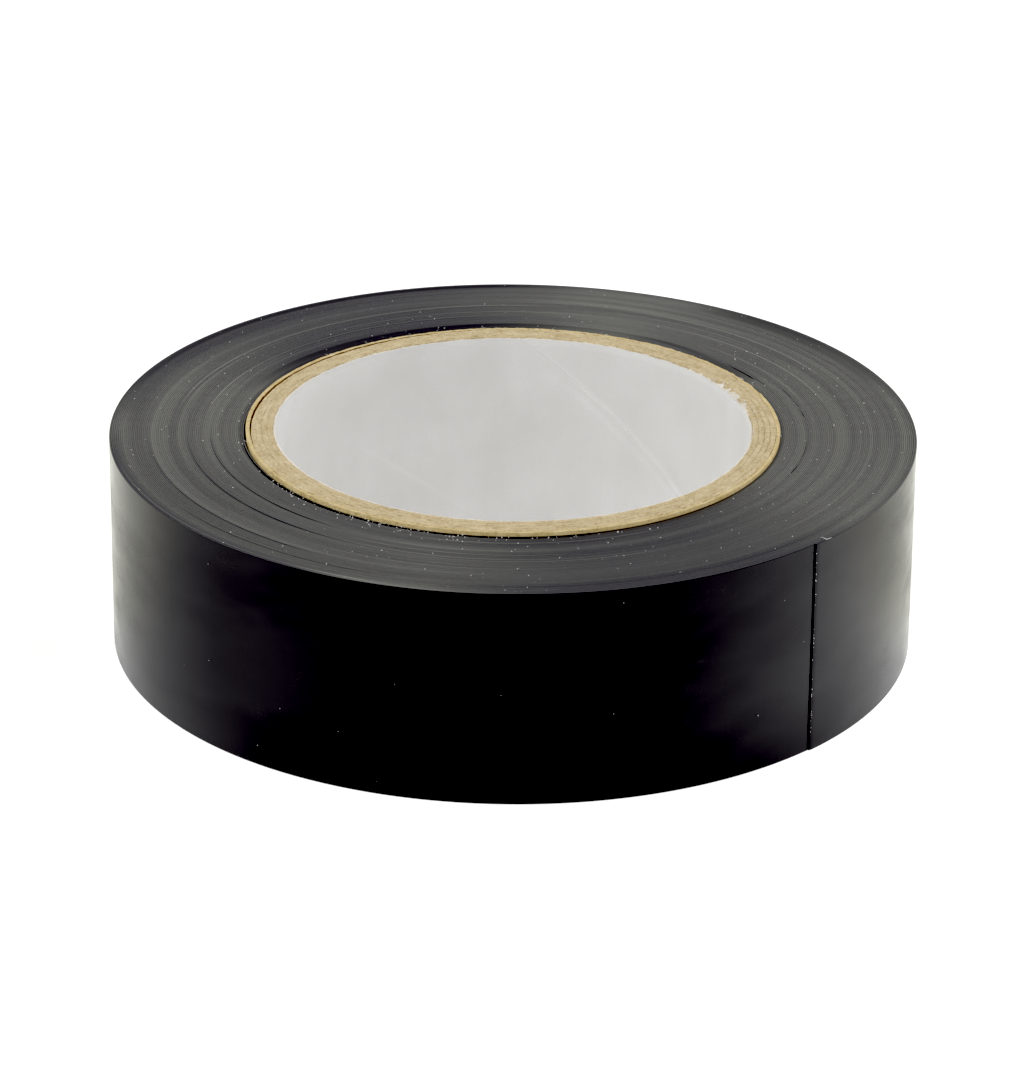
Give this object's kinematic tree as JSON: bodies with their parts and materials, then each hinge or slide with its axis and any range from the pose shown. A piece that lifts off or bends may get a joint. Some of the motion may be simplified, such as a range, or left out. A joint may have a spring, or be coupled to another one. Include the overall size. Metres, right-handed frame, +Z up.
{
  "type": "electrical tape roll",
  "caption": "Roll of narrow black vinyl electrical tape, wound on a paper tube core, with a free end that lifts to start it.",
  "frame": {"origin": "on the roll's axis, in the plane of the side face that the roll lies on", "axes": "+Z up along the roll's axis; +X and +Y lie in the face, and the cut end of the tape is 44 degrees clockwise from +X seen from above"},
  "size_m": [0.0554, 0.0553, 0.0152],
  "materials": {
    "vinyl_film": "satin gloss, smooth black film",
    "adhesive": "tacky, matt",
    "liner_paper": "smooth white liner paper",
    "core_board": "cut edge of fibrous board",
    "kraft_ply": "cut edge of kraft paper"
  },
  "bodies": {
    "roll": {"core_inner_liner": "liner_paper", "core_board_1": "core_board", "core_board_2": "core_board", "core_board_3": "core_board", "core_board_4": "core_board", "core_outer_ply": "kraft_ply", "wound_tape": "vinyl_film", "outer_wrap_film": "vinyl_film", "outer_wrap_adhesive": "adhesive"},
    "tab_1": {"tab_film_1": "vinyl_film", "tab_adhesive_1": "adhesive"},
    "tab_2": {"tab_film_2": "vinyl_film", "tab_adhesive_2": "adhesive"},
    "tab_3": {"tab_film_3": "vinyl_film", "tab_adhesive_3": "adhesive"},
    "tab_4": {"tab_film_4": "vinyl_film", "tab_adhesive_4": "adhesive"},
    "tab_5": {"tab_film_5": "vinyl_film", "tab_adhesive_5": "adhesive"}
  },
  "joints": [
    {"name": "tab_peel", "type": "hinge", "parent": "roll", "child": "tab_1", "pos_m": [0.02752, 0.00358, 0.0075], "axis": [0, 0, 1], "range_deg": [0, 28]},
    {"name": "tab_curl_2", "type": "hinge", "parent": "tab_1", "child": "tab_2", "pos_m": [0.02771, -0.00141, 0.0075], "axis": [0, 0, 1], "range_deg": [0, 28]},
    {"name": "tab_curl_3", "type": "hinge", "parent": "tab_2", "child": "tab_3", "pos_m": [0.02701, -0.00635, 0.0075], "axis": [0, 0, 1], "range_deg": [0, 28]},
    {"name": "tab_curl_4", "type": "hinge", "parent": "tab_3", "child": "tab_4", "pos_m": [0.02544, -0.01109, 0.0075], "axis": [0, 0, 1], "range_deg": [0, 28]},
    {"name": "tab_curl_5", "type": "hinge", "parent": "tab_4", "child": "tab_5", "pos_m": [0.02304, -0.01547, 0.0075], "axis": [0, 0, 1], "range_deg": [0, 28]}
  ],
  "couplings": [
    {"joint": "tab_curl_2", "follows": "tab_peel", "ratio": 1},
    {"joint": "tab_curl_3", "follows": "tab_peel", "ratio": 1},
    {"joint": "tab_curl_4", "follows": "tab_peel", "ratio": 1},
    {"joint": "tab_curl_5", "follows": "tab_peel", "ratio": 1}
  ]
}
